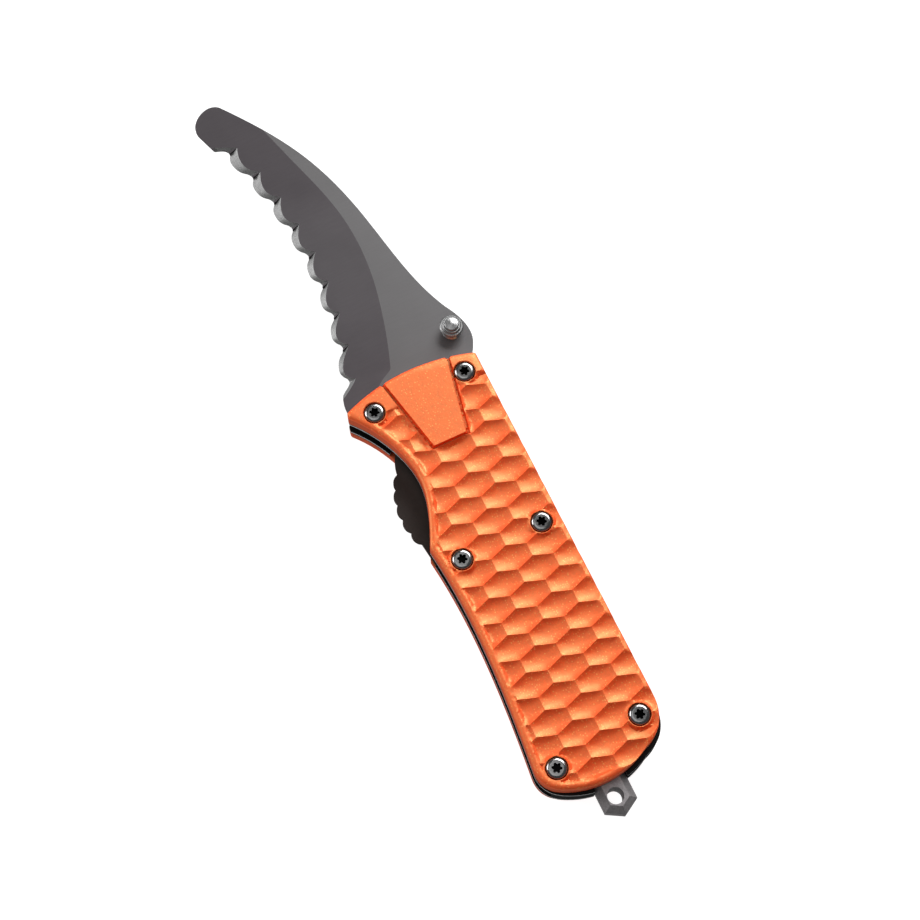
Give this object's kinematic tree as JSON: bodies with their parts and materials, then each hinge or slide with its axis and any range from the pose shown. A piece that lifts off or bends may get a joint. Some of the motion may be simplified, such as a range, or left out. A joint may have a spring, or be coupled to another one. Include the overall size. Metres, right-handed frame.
{
  "type": "rigging knife",
  "caption": "Folding one-hand knife for cutting rope, with a blunt-tipped scalloped blade, moulded hex-dimpled grips, a liner lock and a lanyard lug.",
  "frame": {"origin": "the point of the rear scale's flat outer face under the blade's pivot", "axes": "+X runs from the pivot to the blade's tip when open, +Y points to the side where the blade comes out, +Z points out of the front scale, along the pivot"},
  "size_m": [0.2058, 0.0389, 0.0148],
  "materials": {
    "orange_scale": "moulded, fine grain",
    "liner_steel": "black coated, worn bright at the edges",
    "black_spring_steel": "black oxide",
    "bright_steel": "turned",
    "dark_screw_steel": "dark polished",
    "coated_blade": "charcoal hard coat, satin",
    "bronze": "plain",
    "black_spacer": "moulded black",
    "lug_steel": "dark blasted steel"
  },
  "bodies": {
    "handle": {"front_scale": "orange_scale", "rear_scale": "orange_scale", "front_liner": "liner_steel", "rear_liner": "liner_steel", "pivot_barrel": "bright_steel", "pivot_screw": "dark_screw_steel", "front_washer": "bronze", "rear_washer": "bronze", "back_spacer": "black_spacer", "lanyard_lug": "lug_steel", "stop_pin": "bright_steel", "spine_pillar": "bright_steel", "butt_spine_pillar": "bright_steel", "front_screw_nose": "dark_screw_steel", "rear_screw_nose": "dark_screw_steel", "front_screw_stop": "dark_screw_steel", "rear_screw_stop": "dark_screw_steel", "front_screw_spine": "dark_screw_steel", "rear_screw_spine": "dark_screw_steel", "front_screw_belly": "dark_screw_steel", "rear_screw_belly": "dark_screw_steel", "front_screw_butt_belly": "dark_screw_steel", "rear_screw_butt_belly": "dark_screw_steel", "front_screw_butt_spine": "dark_screw_steel", "rear_screw_butt_spine": "dark_screw_steel"},
    "blade": {"blade": "coated_blade", "thumb_stud": "bright_steel"},
    "lock": {"lock_bar": "black_spring_steel", "detent_ball": "bright_steel"}
  },
  "joints": [
    {"name": "blade_pivot", "type": "hinge", "parent": "handle", "child": "blade", "pos_m": [0, 0, 0.0072], "axis": [0, 0, 1], "range_deg": [0, 174]},
    {"name": "lock_release", "type": "hinge", "parent": "handle", "child": "lock", "pos_m": [-0.0385, 0, 0.0048], "axis": [0, 1, 0], "range_deg": [0, 3.1], "deforming": ["lock_bar", "detent_ball"]}
  ],
  "couplings": [
    {"joint": "lock_release", "follows": "blade_pivot", "ratio": 0.01778}
  ]
}
